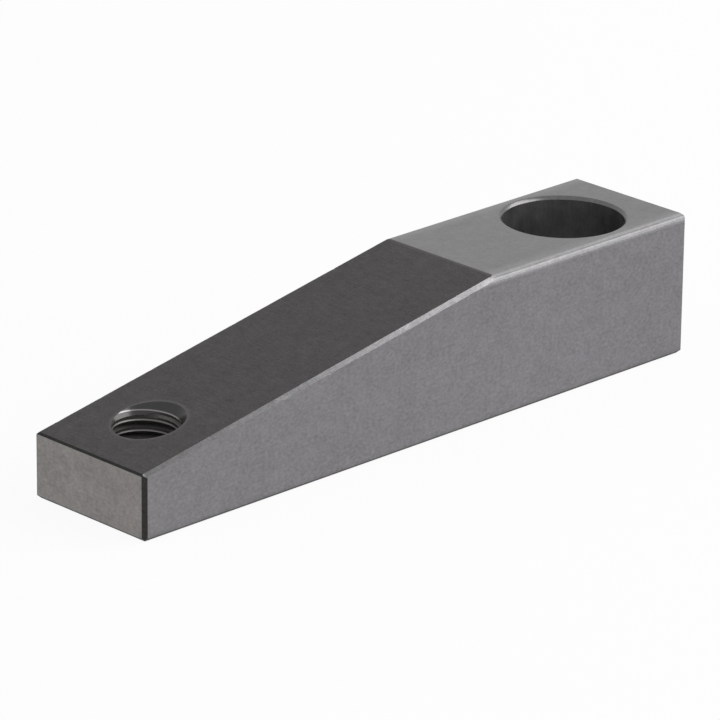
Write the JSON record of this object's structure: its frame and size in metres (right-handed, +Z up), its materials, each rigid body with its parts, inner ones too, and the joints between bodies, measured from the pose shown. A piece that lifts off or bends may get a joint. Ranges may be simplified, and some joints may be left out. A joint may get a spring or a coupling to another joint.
{
  "type": "strap clamp",
  "caption": "Tapered steel strap clamp arm: plain bore through the flat thick end, upright tapped hole through the sloped nose.",
  "frame": {"origin": "middle of the base's outline, on the base face", "axes": "+X from the nose towards the thick end, +Y across the width, +Z up from the base to the seat, parallel to both holes"},
  "size_m": [0.12, 0.025, 0.0245],
  "materials": {
    "strap_clamp": "heat-treated steel: blasted sides, darker milled slope, ground seat, machined bores"
  },
  "bodies": {
    "root": {"strap_clamp": "strap_clamp"}
  },
  "joints": []
}
